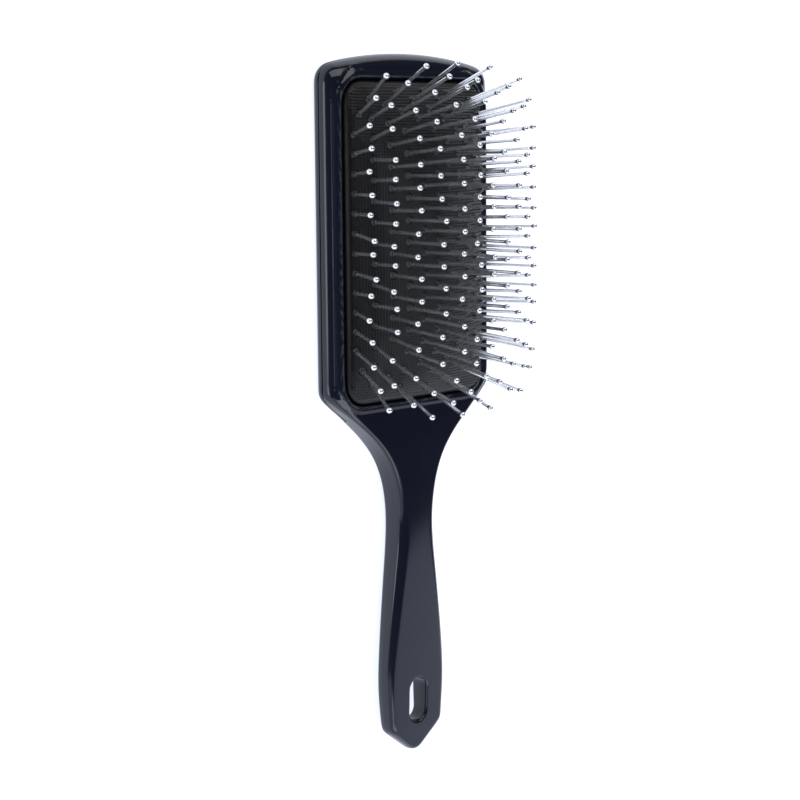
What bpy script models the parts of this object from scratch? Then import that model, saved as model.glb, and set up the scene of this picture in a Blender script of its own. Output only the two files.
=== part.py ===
"""Paddle hair brush with a pneumatic cushion and ball-tipped wire pins.

The brush lies on its back: +Z runs out along the pins, +Y runs from the handle to the top of the
head, and X is its width. The origin is the centre of its box, on the flat back.
"""
import math

import bmesh
import bpy
from mathutils import Matrix, Vector

MM = 0.001
ON_CENTRE = 1e-7

# Overall form of the body
BODY_LENGTH = 246.8 * MM
HEAD_HALF_WIDTH = 39.8 * MM
HEAD_TOP_RADIUS = 180.0 * MM
HEAD_TOP_CORNER_RADIUS = 6.5 * MM
TOP_ARC_END_SHARE = 1.2
TOP_STEPS = 5
HEAD_LOW_CORNER = (39.8 * MM, 7.3 * MM)
HEAD_LOW_CORNER_RADIUS = 5.5 * MM
TAIL_CORNER = (13.0 * MM, -114.6 * MM)
TAIL_CORNER_RADIUS = 4.5 * MM
TAIL_POINT_Y = -124.5 * MM
TAIL_POINT_RADIUS = 4.8 * MM
# Half width against Y, from the shoulder down the neck to the tail
HANDLE_CURVE = [
    (35.2, 3.5), (29.4, -0.8), (20.0, -8.7), (13.9, -16.0), (10.3, -24.0), (8.7, -32.0),
    (8.4, -40.0), (9.1, -49.0), (10.8, -62.0), (12.8, -78.0), (14.0, -91.0), (14.2, -100.0),
    (13.5, -110.0),
]
# Height of the front face against Y, and of the back face
FRONT_HEIGHTS = [
    (-122.5, 9.3), (-113.0, 9.9), (-80.0, 10.9), (-42.0, 11.3), (-12.0, 10.8), (12.0, 10.0),
]
BACK_HEIGHTS = [(-122.5, 3.3), (-105.0, 2.8), (-80.0, 2.1), (-50.0, 1.3), (-25.0, 0.8), (-4.0, 0.0)]
# Rounding of the edges against Y: broad round the head, tight on the shoulder and neck
FRONT_EDGE_RADII = [
    (-122.0, 2.0), (-108.0, 2.8), (-60.0, 3.4), (-42.0, 3.3), (-25.0, 2.0), (-5.0, 1.3), (4.0, 2.6),
    (12.0, 5.8),
]
BACK_EDGE_WIDTHS = [(-110.0, 2.2), (-85.0, 2.8), (-12.0, 2.8), (6.0, 4.5)]
BACK_EDGE_SLOPE = 0.93
EDGE_STEPS = 3

# Hanging hole
HOLE_CENTRE_Y = -104.5 * MM
HOLE_WIDTH = 8.2 * MM
HOLE_LENGTH = 16.0 * MM

# Well for the cushion, and the cover that closes it
PAD_CENTRE_Y = 59.2 * MM
PAD_HALF_WIDTH = 33.3 * MM
PAD_HALF_LENGTH = 54.6 * MM
PAD_CORNER_RADIUS = 8.0 * MM
LIP_GAP = 0.4 * MM
LIP_UNDERSIDE = 8.9 * MM
POCKET_OFFSET = 3.1 * MM
SEAM_HEIGHT = 4.6 * MM
SEAM_GAP = 0.3 * MM
SEAM_Y = -1.5 * MM
COVER_THICKNESS = 1.6 * MM
COVER_RECESS_INSET = 0.6 * MM
# Raised lip round the cushion: offset outward from the pad edge, and height
LIP_PROFILE = [(0.1, 9.2), (0.1, 9.8), (1.0, 10.3), (2.0, 10.5), (3.0, 10.3), (3.9, 9.7), (4.4, 8.4)]

# Cushion: a rubber dome with a flange under the lip
FLANGE_TOP = 8.6 * MM
FLANGE_THICKNESS = 1.2 * MM
FLANGE_OFFSET = 2.7 * MM
PAD_THICKNESS = 1.3 * MM
DOME_EDGE = 11.35 * MM
DOME_RISE = 9.9 * MM
DOME_POWER_ACROSS = 1.89
DOME_POWER_ALONG = 4.6
EDGE_ROLL = 3.0 * MM
EDGE_DROP = 2.0 * MM
CORNER_STEPS = 4
DOME_STEPS = 8
PAD_RINGS = [0.0, 0.03, 0.09, 0.2, 0.38, 0.6, 0.82]
PAD_UNDER_RINGS = [0.0, 0.09, 0.25, 0.5, 0.82]

# Clamp frame behind the flange
CLAMP_TOP = 7.1 * MM
CLAMP_BOTTOM = 4.75 * MM
CLAMP_OUTER = 2.7 * MM
CLAMP_INNER = 0.1 * MM

# Pins, in an offset pattern of eleven columns; rows alternate between six and five pins
COLUMNS = 11
COLUMN_PITCH = 6.17 * MM
FIELD_CENTRE_Y = 59.7 * MM
OUTER_PITCH = 6.63 * MM
MIDDLE_EXTRA_PITCH = 0.96 * MM
LAST_ROW = 14
PULLED_ROWS_START = 11
ROW_PULL = 0.75 * MM
CORNER_ROW = 13
CORNER_PULL = 2.1 * MM
FIELD_HALF_WIDTH = 30.85 * MM
FIELD_HALF_LENGTH = 47.1 * MM
SPLAY_ACROSS = math.radians(28.3)
SPLAY_ALONG = math.radians(20.9)
SPLAY_POWER_ACROSS = 1.6
SPLAY_POWER_ALONG = 3.3
PIN_RADIUS = 0.6 * MM
PIN_ROOT_DEPTH = 2.05 * MM
PIN_REACH = 19.3 * MM
BALL_RADIUS = 1.0 * MM
PIN_SIDES = 5
PIN_HOLE_RADIUS = 0.95 * MM
PIN_HOLE_DEPTH = 4.4 * MM
PIN_HOLE_CENTRE_DEPTH = 0.3 * MM
STRIP_WIDTH = 1.8 * MM
STRIP_THICKNESS = 0.8 * MM
STRIP_END = 0.9 * MM

# Cloth layer behind the pins
CLOTH_DEPTH = 3.4 * MM
CLOTH_THICKNESS = 0.5 * MM
CLOTH_INSET = 4.0 * MM
CLOTH_RINGS = [0.0, 0.25, 0.55, 0.85]
CLOTH_STEPS = 4

# Cutters reach this far past what they cut
CUT_MARGIN = 5.0 * MM
CUT_TOP = 30.0 * MM


def clear_scene():
    for item in list(bpy.data.objects):
        bpy.data.objects.remove(item, do_unlink=True)


def new_collection(name):
    collection = bpy.data.collections.new(name)
    bpy.context.scene.collection.children.link(collection)
    return collection


def new_material(name, colour, roughness, metallic=0.0):
    material = bpy.data.materials.new(name)
    material.use_nodes = True
    shader = material.node_tree.nodes["Principled BSDF"]
    shader.inputs["Base Color"].default_value = (*colour, 1.0)
    shader.inputs["Roughness"].default_value = roughness
    shader.inputs["Metallic"].default_value = metallic
    return material


def new_object(name, mesh, collection, material=None, smooth_angle=None):
    made = bpy.data.objects.new(name, mesh)
    collection.objects.link(made)
    if material:
        mesh.materials.append(material)
    if smooth_angle:
        mesh.shade_smooth()
        mesh.set_sharp_from_angle(angle=math.radians(smooth_angle))
    return made


def hide_helper(helper):
    helper.hide_render = True
    helper.display_type = "WIRE"


def add_boolean(target, helper, operation):
    modifier = target.modifiers.new(helper.name, "BOOLEAN")
    modifier.operation = operation
    modifier.solver = "EXACT"
    modifier.object = helper


def smooth_value(stations, y):
    """Value at y on a smooth curve through (y, value) stations in mm, flat beyond both ends."""
    last = len(stations) - 1
    y_mm = min(max(y / MM, stations[0][0]), stations[last][0])
    after = next(i for i in range(1, last + 1) if y_mm <= stations[i][0])

    def slope(i):
        if i in (0, last):
            return 0.0
        (y0, value0), (y1, value1) = stations[i - 1], stations[i + 1]
        return (value1 - value0) / (y1 - y0)

    (y0, value0), (y1, value1) = stations[after - 1], stations[after]
    width = y1 - y0
    t = (y_mm - y0) / width
    value = value0 * (1 + 2 * t) * (1 - t) ** 2 + value1 * t * t * (3 - 2 * t)
    value += width * t * (1 - t) * (slope(after - 1) * (1 - t) - slope(after) * t)
    return value * MM


def fillet(before, corner, after, radius, steps):
    """Points of an arc that rounds a corner between two straight lines."""
    corner = Vector(corner)
    back = (Vector(before) - corner).normalized()
    ahead = (Vector(after) - corner).normalized()
    half_angle = back.angle(ahead) / 2
    centre = corner + (back + ahead).normalized() * (radius / math.sin(half_angle))
    start = corner + back * (radius / math.tan(half_angle))
    end = corner + ahead * (radius / math.tan(half_angle))
    turn = (start - centre).angle_signed(end - centre)
    spoke = start - centre
    return [centre + Matrix.Rotation(-turn * i / steps, 2) @ spoke for i in range(steps + 1)]


def smooth_curve(points, steps):
    """Catmull-Rom curve through the points, in order."""
    padded = [2 * points[0] - points[1], *points, 2 * points[-1] - points[-2]]
    curve = []
    for p0, p1, p2, p3 in zip(padded, padded[1:], padded[2:], padded[3:]):
        for i in range(steps):
            t = i / steps
            curve.append(
                0.5 * (2 * p1 + (p2 - p0) * t + (2 * p0 - 5 * p1 + 4 * p2 - p3) * t * t
                       + (3 * p1 - p0 - 3 * p2 + p3) * t ** 3)
            )
    return curve + [points[-1]]


def mirrored(half):
    """Closed outline from its right half, top to bottom; points on the centre line stay single."""
    return half + [Vector((-p.x, p.y)) for p in reversed(half) if p.x > ON_CENTRE]


def body_outline():
    top_y = BODY_LENGTH / 2

    def top_edge(x):
        return Vector((x, top_y - HEAD_TOP_RADIUS + math.sqrt(HEAD_TOP_RADIUS ** 2 - x * x)))

    top_corner = top_edge(HEAD_HALF_WIDTH)
    top_end_x = HEAD_HALF_WIDTH - TOP_ARC_END_SHARE * HEAD_TOP_CORNER_RADIUS
    half = [top_edge(top_end_x * i / TOP_STEPS) for i in range(TOP_STEPS)]
    half += fillet(
        top_edge(top_end_x), top_corner, HEAD_LOW_CORNER, HEAD_TOP_CORNER_RADIUS, TOP_STEPS
    )
    handle = [Vector((x * MM, y * MM)) for x, y in HANDLE_CURVE]
    half += fillet(top_corner, HEAD_LOW_CORNER, handle[0], HEAD_LOW_CORNER_RADIUS, 4)
    half += smooth_curve(handle, 2)
    tail_point = (0.0, TAIL_POINT_Y)
    half += fillet(handle[-1], TAIL_CORNER, tail_point, TAIL_CORNER_RADIUS, 2)
    other_side = (-TAIL_CORNER[0], TAIL_CORNER[1])
    tip = fillet(TAIL_CORNER, tail_point, other_side, TAIL_POINT_RADIUS, 6)
    half += tip[:4]
    half[-1].x = 0.0
    return mirrored(half)


def inset_outline(outline, distance):
    """Each point moved inward by its own distance, at right angles to the outline."""
    count = len(outline)
    moved = []
    for i, point in enumerate(outline):
        along = outline[(i + 1) % count] - outline[i - 1]
        inward = Vector((along.y, -along.x)).normalized()
        moved.append(point + inward * distance(point))
    return moved


def rounded_rectangle(half_width, half_length, radius, side_steps):
    """Outline about the origin, clockwise from its +Y side, with no point on the centre line."""
    top = Vector((0.0, half_length))
    corners = [Vector((half_width, half_length)), Vector((half_width, -half_length))]
    side = Vector((half_width, 0.0))
    first = fillet(top, corners[0], side, radius, CORNER_STEPS)
    second = fillet(side, corners[1], -top, radius, CORNER_STEPS)
    end_shares = [(i + 0.5) / (side_steps / 2) for i in range(side_steps // 2)]
    half = [top.lerp(first[0], share) for share in end_shares if share < 1] + first
    half += [first[-1].lerp(second[0], i / side_steps) for i in range(1, side_steps)]
    half += second + [(-top).lerp(second[-1], share) for share in reversed(end_shares)]
    return mirrored(half)


def obround(half_width, half_length, steps):
    """Slot outline about the origin with round ends, long in Y."""
    straight = half_length - half_width
    arc = [math.pi / 2 * i / steps for i in range(steps + 1)]
    upper = [Vector((half_width * math.sin(a), straight + half_width * math.cos(a))) for a in arc]
    upper[0].x = 0.0
    return mirrored(upper + [Vector((p.x, -p.y)) for p in reversed(upper)])


def loft(name, rings, ends="flat"):
    """Closed mesh from rings of equal length. Its ends are flat faces, or a ladder of rungs that
    follows an outline's changing height, or "joined" to each other to make a closed frame."""
    shape = bmesh.new()
    made = [[shape.verts.new(point) for point in ring] for ring in rings]
    count = len(made[0])
    pairs = list(zip(made, made[1:]))
    if ends == "joined":
        pairs.append((made[-1], made[0]))
    for lower, upper in pairs:
        for i in range(count):
            j = (i + 1) % count
            shape.faces.new((lower[i], lower[j], upper[j], upper[i]))
    if ends == "flat":
        shape.faces.new(made[0])
        shape.faces.new(made[-1])
    if ends == "ladder":
        for ring in (made[0], made[-1]):
            for i in range(count // 2):
                rung = [ring[i], ring[i + 1], ring[-i - 1], ring[-i % count]]
                shape.faces.new(list(dict.fromkeys(rung)))
    bmesh.ops.triangulate(shape, faces=shape.faces)
    bmesh.ops.recalc_face_normals(shape, faces=shape.faces)
    mesh = bpy.data.meshes.new(name)
    shape.to_mesh(mesh)
    shape.free()
    return mesh


def prism(name, outline, bottom, top, helpers):
    """Upright helper block with the given outline."""
    rings = [[Vector((p.x, p.y, height)) for p in outline] for height in (bottom, top)]
    helper = new_object(name, loft(name, rings), helpers)
    hide_helper(helper)
    return helper


def box_outline(half_width, y0, y1):
    return mirrored([Vector((half_width, y1)), Vector((half_width, y0))])


def pad_outline(offset, side_steps=2):
    """The cushion's visible edge, moved outward by offset, in place on the head."""
    outline = rounded_rectangle(
        PAD_HALF_WIDTH + offset, PAD_HALF_LENGTH + offset, PAD_CORNER_RADIUS + offset, side_steps
    )
    return [p + Vector((0.0, PAD_CENTRE_Y)) for p in outline]


def body_form(name):
    """The whole outer form: outline, rounded back edge, side wall and rounded front edge."""
    outline = body_outline()
    rings = []
    for i in range(EDGE_STEPS + 1):
        angle = math.pi / 2 * i / EDGE_STEPS
        inward = 1 - math.sin(angle)
        rise = BACK_EDGE_SLOPE * (1 - math.cos(angle))
        ring = inset_outline(outline, lambda p: inward * smooth_value(BACK_EDGE_WIDTHS, p.y))
        rings.append([
            Vector((p.x, p.y, smooth_value(BACK_HEIGHTS, p.y) + rise * smooth_value(BACK_EDGE_WIDTHS, p.y)))
            for p in ring
        ])
    for i in range(EDGE_STEPS + 1):
        angle = math.pi / 2 * i / EDGE_STEPS
        inward = 1 - math.cos(angle)
        fall = 1 - math.sin(angle)
        ring = inset_outline(outline, lambda p: inward * smooth_value(FRONT_EDGE_RADII, p.y))
        rings.append([
            Vector((
                p.x, p.y,
                smooth_value(FRONT_HEIGHTS, p.y) - fall * smooth_value(FRONT_EDGE_RADII, p.y),
            ))
            for p in ring
        ])
    return loft(name, rings, ends="ladder")


def make_body(parts, helpers, material):
    """One moulding: handle, shoulder and the frame round the cushion well."""
    body = new_object("paddle_body", body_form("paddle_body"), parts, material, 35)
    lip_rings = [[Vector((p.x, p.y, z * MM)) for p in pad_outline(offset * MM)]
                 for offset, z in LIP_PROFILE]
    lip = new_object("raised_lip", loft("raised_lip", lip_rings, ends="joined"), helpers)
    hide_helper(lip)
    steps = [
        (POCKET_OFFSET, -CUT_MARGIN), (POCKET_OFFSET, LIP_UNDERSIDE),
        (LIP_GAP, LIP_UNDERSIDE), (LIP_GAP, CUT_TOP),
    ]
    well_mesh = loft("cushion_well", [flat_ring(offset, height) for offset, height in steps])
    well = new_object("cushion_well", well_mesh, helpers)
    hide_helper(well)
    reach = HEAD_HALF_WIDTH + CUT_MARGIN
    end = BODY_LENGTH / 2 + CUT_MARGIN
    seat = prism(
        "cover_seat", box_outline(reach, SEAM_Y - SEAM_GAP / 2, end), -CUT_MARGIN,
        SEAM_HEIGHT + SEAM_GAP / 2, helpers,
    )
    hole_outline = obround(HOLE_WIDTH / 2, HOLE_LENGTH / 2, 5)
    hole = prism(
        "hanging_hole", [p + Vector((0.0, HOLE_CENTRE_Y)) for p in hole_outline], -CUT_MARGIN,
        CUT_TOP, helpers,
    )
    add_boolean(body, seat, "DIFFERENCE")
    add_boolean(body, hole, "DIFFERENCE")
    add_boolean(body, lip, "UNION")
    add_boolean(body, well, "DIFFERENCE")
    return body


def make_cover(parts, helpers, material):
    """Plate with rounded edges that closes the air chamber from the back of the head."""
    cover = new_object("rear_cover", body_form("rear_cover"), parts, material, 35)
    reach = HEAD_HALF_WIDTH + CUT_MARGIN
    end = BODY_LENGTH / 2 + CUT_MARGIN
    handle_side = prism(
        "cover_end_cut", box_outline(reach, -end, SEAM_Y + SEAM_GAP / 2), -CUT_MARGIN, CUT_TOP,
        helpers,
    )
    upper_side = prism(
        "cover_top_cut", box_outline(reach, -end, end), SEAM_HEIGHT - SEAM_GAP / 2, CUT_TOP,
        helpers,
    )
    recess = prism(
        "cover_recess", pad_outline(-COVER_RECESS_INSET), COVER_THICKNESS, CUT_TOP, helpers
    )
    for cutter in (handle_side, upper_side, recess):
        add_boolean(cover, cutter, "DIFFERENCE")
    return cover


def make_clamp_frame(parts, material):
    """Rectangular plastic frame that holds the cushion's flange up against the lip."""
    section = [
        (CLAMP_INNER, CLAMP_BOTTOM), (CLAMP_OUTER, CLAMP_BOTTOM),
        (CLAMP_OUTER, CLAMP_TOP), (CLAMP_INNER, CLAMP_TOP),
    ]
    rings = [[Vector((p.x, p.y, z)) for p in pad_outline(offset)] for offset, z in section]
    mesh = loft("cushion_clamp_frame", rings, ends="joined")
    return new_object("cushion_clamp_frame", mesh, parts, material, 35)


def edge_distance(x, y):
    """Distance inward from the cushion's visible edge, at a point in place on the head."""
    qx = abs(x) - (PAD_HALF_WIDTH - PAD_CORNER_RADIUS)
    qy = abs(y - PAD_CENTRE_Y) - (PAD_HALF_LENGTH - PAD_CORNER_RADIUS)
    outside = math.hypot(max(qx, 0.0), max(qy, 0.0)) + min(max(qx, qy), 0.0)
    return PAD_CORNER_RADIUS - outside


def dome_height(x, y):
    """Upper surface of the cushion: domed both ways from its edge, where it rolls down."""
    across = 1.0 - (abs(x) / PAD_HALF_WIDTH) ** DOME_POWER_ACROSS
    along = 1.0 - (abs(y - PAD_CENTRE_Y) / PAD_HALF_LENGTH) ** DOME_POWER_ALONG
    roll = min(1.0, max(0.0, 1.0 - edge_distance(x, y) / EDGE_ROLL))
    edge = EDGE_DROP * (1.0 - math.sqrt(1.0 - roll * roll))
    return DOME_EDGE + DOME_RISE * across * along - edge


def toward_spine(point, share):
    """Point moved part of the way to the cushion's centre line."""
    half_spine = PAD_HALF_LENGTH - PAD_HALF_WIDTH
    spine_y = min(half_spine, max(-half_spine, point.y - PAD_CENTRE_Y)) + PAD_CENTRE_Y
    return point.lerp(Vector((0.0, spine_y)), share)


def dome_ring(outline, share, depth):
    """Ring on the dome, at a depth below its upper surface."""
    moved = [toward_spine(p, share) for p in outline]
    return [Vector((p.x, p.y, dome_height(p.x, p.y) - depth)) for p in moved]


def flat_ring(offset, height, side_steps=2):
    return [Vector((p.x, p.y, height)) for p in pad_outline(offset, side_steps)]


def make_cushion(parts, helpers, pins, material):
    """Moulded rubber cushion: a dome with a wall, a flange and one hole for each pin."""
    rim = pad_outline(0.0, DOME_STEPS)
    inner = pad_outline(-PAD_THICKNESS, DOME_STEPS)
    rings = [dome_ring(rim, share, 0.0) for share in reversed(PAD_RINGS)]
    flange_bottom = FLANGE_TOP - FLANGE_THICKNESS
    flange = [
        (0.0, FLANGE_TOP), (FLANGE_OFFSET, FLANGE_TOP),
        (FLANGE_OFFSET, flange_bottom), (-PAD_THICKNESS, flange_bottom),
    ]
    rings += [flat_ring(offset, height, DOME_STEPS) for offset, height in flange]
    rings += [dome_ring(inner, share, PAD_THICKNESS) for share in PAD_UNDER_RINGS]
    cushion = new_object("cushion_pad", loft("cushion_pad", rings), parts, material, 40)
    cutters = bmesh.new()
    for base, direction in pins:
        turn = direction.to_track_quat("Z", "Y").to_matrix().to_4x4()
        place = Matrix.Translation(base - direction * PIN_HOLE_CENTRE_DEPTH) @ turn
        bmesh.ops.create_cone(
            cutters, cap_ends=True, segments=PIN_SIDES, radius1=PIN_HOLE_RADIUS,
            radius2=PIN_HOLE_RADIUS, depth=PIN_HOLE_DEPTH, matrix=place,
        )
    mesh = bpy.data.meshes.new("pin_holes")
    cutters.to_mesh(mesh)
    cutters.free()
    holes = new_object("pin_holes", mesh, helpers)
    hide_helper(holes)
    add_boolean(cushion, holes, "DIFFERENCE")
    return cushion


def make_cloth(parts, material):
    """Woven layer that covers the heads of the pins inside the air chamber."""
    outline = pad_outline(-CLOTH_INSET, CLOTH_STEPS)
    rings = [dome_ring(outline, share, CLOTH_DEPTH) for share in reversed(CLOTH_RINGS)]
    rings += [
        dome_ring(outline, share, CLOTH_DEPTH + CLOTH_THICKNESS) for share in CLOTH_RINGS
    ]
    return new_object("backing_cloth", loft("backing_cloth", rings), parts, material, 40)


def pin_place(column, row):
    """Foot of a pin on the cushion and its direction; columns count from the middle."""
    x = column * COLUMN_PITCH
    middle = 1.0 - (x / FIELD_HALF_WIDTH) ** 2
    pull = ROW_PULL * max(0, abs(row) - PULLED_ROWS_START) * middle
    pitch = OUTER_PITCH + MIDDLE_EXTRA_PITCH * middle
    y = math.copysign(abs(row) / 2 * pitch - pull, row)
    if abs(column) == COLUMNS // 2 and abs(row) >= CORNER_ROW:
        x -= math.copysign(CORNER_PULL, x)
    share_across = math.sin(math.pi / 2 * abs(x / FIELD_HALF_WIDTH) ** SPLAY_POWER_ACROSS)
    lean_x = math.copysign(SPLAY_ACROSS * share_across, x)
    lean_y = math.copysign(SPLAY_ALONG * abs(y / FIELD_HALF_LENGTH) ** SPLAY_POWER_ALONG, y)
    y += FIELD_CENTRE_Y
    direction = Vector((math.tan(lean_x), math.tan(lean_y), 1.0)).normalized()
    return Vector((x, y, dome_height(x, y))), direction


def row_pins(row):
    """The pins of one row, left to right: odd rows use the outer columns, even rows those between."""
    half = COLUMNS // 2
    start = -half if row % 2 else -half + 1
    return [pin_place(column, row) for column in range(start, half + 1, 2)]


def turned_pin():
    """One pin standing on the origin: a wire with a ball tip, spun from its profile."""
    tip = PIN_REACH + PIN_ROOT_DEPTH
    profile = [
        (0.0, 0.0), (PIN_RADIUS, 0.0), (PIN_RADIUS, tip - BALL_RADIUS),
        (BALL_RADIUS, tip), (0.0, tip + BALL_RADIUS),
    ]
    shape = bmesh.new()
    points = [shape.verts.new((radius, 0.0, height)) for radius, height in profile]
    for lower, upper in zip(points, points[1:]):
        shape.edges.new((lower, upper))
    bmesh.ops.spin(
        shape, geom=shape.verts[:] + shape.edges[:], cent=(0, 0, 0), axis=(0, 0, 1),
        angle=2 * math.pi, steps=PIN_SIDES, use_merge=True,
    )
    bmesh.ops.remove_doubles(shape, verts=shape.verts, dist=1e-6)
    bmesh.ops.recalc_face_normals(shape, faces=shape.faces)
    mesh = bpy.data.meshes.new("turned_pin")
    shape.to_mesh(mesh)
    shape.free()
    return mesh


def make_row(name, pins, pin_mesh, parts, helpers, material):
    """A row of pins on the thin strip that joins their heads under the cushion."""
    roots = [base - direction * PIN_ROOT_DEPTH for base, direction in pins]
    first = Vector((-pins[0][1].z, 0.0, pins[0][1].x)).normalized()
    last = Vector((pins[-1][1].z, 0.0, -pins[-1][1].x)).normalized()
    stations = [roots[0] + first * STRIP_END, *roots, roots[-1] + last * STRIP_END]
    rings = []
    for place in stations:
        rings.append([
            place + Vector((0.0, side * STRIP_WIDTH / 2, height * STRIP_THICKNESS / 2))
            for side, height in ((-1, -1), (1, -1), (1, 1), (-1, 1))
        ])
    strip = new_object(name, loft(name, rings), parts, material, 35)
    joined = bmesh.new()
    for root, (_, direction) in zip(roots, pins):
        copy = bmesh.new()
        copy.from_mesh(pin_mesh)
        turn = direction.to_track_quat("Z", "Y").to_matrix().to_4x4()
        copy.transform(Matrix.Translation(root) @ turn)
        moved = bpy.data.meshes.new("moved_pin")
        copy.to_mesh(moved)
        copy.free()
        joined.from_mesh(moved)
        bpy.data.meshes.remove(moved)
    mesh = bpy.data.meshes.new(name + "_pins")
    joined.to_mesh(mesh)
    joined.free()
    wires = new_object(name + "_pins", mesh, helpers)
    hide_helper(wires)
    add_boolean(strip, wires, "UNION")
    return strip


def main():
    clear_scene()
    parts = new_collection("paddle_brush")
    helpers = new_collection("cutters")
    navy = new_material("navy_gloss_plastic", (0.010, 0.012, 0.022), 0.16)
    cover_navy = new_material("navy_cover_plastic", (0.010, 0.012, 0.022), 0.2)
    inner_plastic = new_material("inner_frame_plastic", (0.03, 0.03, 0.032), 0.5)
    rubber = new_material("black_rubber", (0.012, 0.012, 0.013), 0.62)
    woven = new_material("woven_backing", (0.05, 0.05, 0.055), 0.9)
    chrome = new_material("chromed_wire", (0.82, 0.83, 0.85), 0.08, 1.0)

    make_body(parts, helpers, navy)
    make_cover(parts, helpers, cover_navy)
    make_clamp_frame(parts, inner_plastic)
    rows = [row_pins(row) for row in range(LAST_ROW, -LAST_ROW - 1, -1)]
    make_cushion(parts, helpers, [pin for row in rows for pin in row], rubber)
    cloth = make_cloth(parts, woven)

    carrier = bpy.data.objects.new("pin_field", None)
    carrier.location = (0.0, FIELD_CENTRE_Y, FLANGE_TOP)
    parts.objects.link(carrier)
    bpy.context.view_layer.update()
    pin_mesh = turned_pin()
    moving = [cloth]
    for number, pins in enumerate(rows, start=1):
        moving.append(make_row(f"pin_row_{number:02d}", pins, pin_mesh, parts, helpers, chrome))
    for piece in moving:
        piece.parent = carrier
        piece.matrix_parent_inverse = carrier.matrix_world.inverted()


main()
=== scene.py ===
"""Looks of the paddle brush: glossy navy body, dimpled rubber cushion and chromed pins.

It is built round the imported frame. Lengths are in metres, +Z runs out along the pins and +Y from the
handle to the top of the head. The brush lies on its back on a pale floor.
"""

import math
import random

import bmesh
import bpy
import numpy as np
from mathutils import Matrix, Vector
from mathutils.geometry import delaunay_2d_cdt
from mathutils.kdtree import KDTree


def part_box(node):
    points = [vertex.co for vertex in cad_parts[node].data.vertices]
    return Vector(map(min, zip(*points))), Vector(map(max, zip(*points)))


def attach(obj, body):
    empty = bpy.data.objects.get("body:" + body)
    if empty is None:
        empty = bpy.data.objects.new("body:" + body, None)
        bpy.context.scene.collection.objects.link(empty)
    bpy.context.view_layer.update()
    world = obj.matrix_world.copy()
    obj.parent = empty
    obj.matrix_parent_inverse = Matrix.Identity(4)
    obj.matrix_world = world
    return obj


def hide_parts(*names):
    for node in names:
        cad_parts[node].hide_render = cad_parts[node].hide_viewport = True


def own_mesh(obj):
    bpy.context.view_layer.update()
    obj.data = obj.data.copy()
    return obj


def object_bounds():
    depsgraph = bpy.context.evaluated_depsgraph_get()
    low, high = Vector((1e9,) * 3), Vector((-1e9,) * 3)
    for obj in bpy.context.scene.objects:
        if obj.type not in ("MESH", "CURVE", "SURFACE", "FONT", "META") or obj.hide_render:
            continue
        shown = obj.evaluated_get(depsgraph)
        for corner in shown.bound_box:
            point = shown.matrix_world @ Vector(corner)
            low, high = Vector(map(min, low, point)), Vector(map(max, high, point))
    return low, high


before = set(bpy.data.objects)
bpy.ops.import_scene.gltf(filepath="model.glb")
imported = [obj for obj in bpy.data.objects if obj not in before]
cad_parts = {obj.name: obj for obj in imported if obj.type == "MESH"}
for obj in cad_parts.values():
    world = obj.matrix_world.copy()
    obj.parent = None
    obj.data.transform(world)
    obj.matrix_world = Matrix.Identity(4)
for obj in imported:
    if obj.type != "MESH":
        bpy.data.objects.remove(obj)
cad_low, cad_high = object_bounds()

MM = 0.001
body_low, body_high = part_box("paddle_body")
pad_low, pad_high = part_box("cushion_pad")

# Overall form of the body, the same as the frame's
HEAD_HALF_WIDTH = body_high.x
TOP_Y = body_high.y
TAIL_Y = body_low.y
HEAD_TOP_RADIUS = 180.0 * MM
HEAD_TOP_CORNER_RADIUS = 6.5 * MM
TOP_ARC_END_SHARE = 1.2
HEAD_LOW_CORNER = (HEAD_HALF_WIDTH, 7.3 * MM)
HEAD_LOW_CORNER_RADIUS = 5.5 * MM
TAIL_CORNER = (13.0 * MM, -114.6 * MM)
TAIL_CORNER_RADIUS = 4.5 * MM
TAIL_POINT_Y = -124.5 * MM
TAIL_POINT_RADIUS = 4.8 * MM
# Half width against Y, from the shoulder down the neck to the tail, in mm
HANDLE_CURVE = [
    (35.2, 3.5), (29.4, -0.8), (20.0, -8.7), (13.9, -16.0), (10.3, -24.0), (8.7, -32.0),
    (8.4, -40.0), (9.1, -49.0), (10.8, -62.0), (12.8, -78.0), (14.0, -91.0), (14.2, -100.0),
    (13.5, -110.0),
]
OUTLINE_SPACING = 1.0 * MM
OUTLINE_SMOOTHING = 6
TIP_STEPS = 20
# Height of the front face against Y, in mm, and the crown across the handle
FRONT_HEIGHTS = [
    (-122.5, 9.3), (-113.0, 9.9), (-80.0, 10.9), (-42.0, 11.3), (-12.0, 10.8), (12.0, 10.0),
]
CROWN_HEIGHTS = [(-122.5, 0.1), (-100.0, 0.3), (-50.0, 0.4), (-25.0, 0.2), (0.0, 0.0)]
CROWN_HALF_WIDTH = 12.0 * MM
BACK_HEIGHTS = [(-122.5, 3.3), (-105.0, 2.8), (-80.0, 2.1), (-50.0, 1.3), (-25.0, 0.8), (-4.0, 0.0)]
# Rounding of the edges against Y, in mm: broad round the head, tight on the shoulder and neck
FRONT_EDGE_RADII = [
    (-122.0, 2.0), (-108.0, 2.8), (-60.0, 3.4), (-42.0, 3.3), (-25.0, 2.0), (-5.0, 1.3), (4.0, 2.6),
    (12.0, 5.8),
]
BACK_EDGE_WIDTHS = [(-110.0, 2.2), (-85.0, 2.8), (-12.0, 2.8), (6.0, 4.5)]
BACK_EDGE_SLOPE = 0.93
SIDE_BULGE = 0.12 * MM
SIDE_PARTS = (0.25, 0.5, 0.75)
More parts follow.
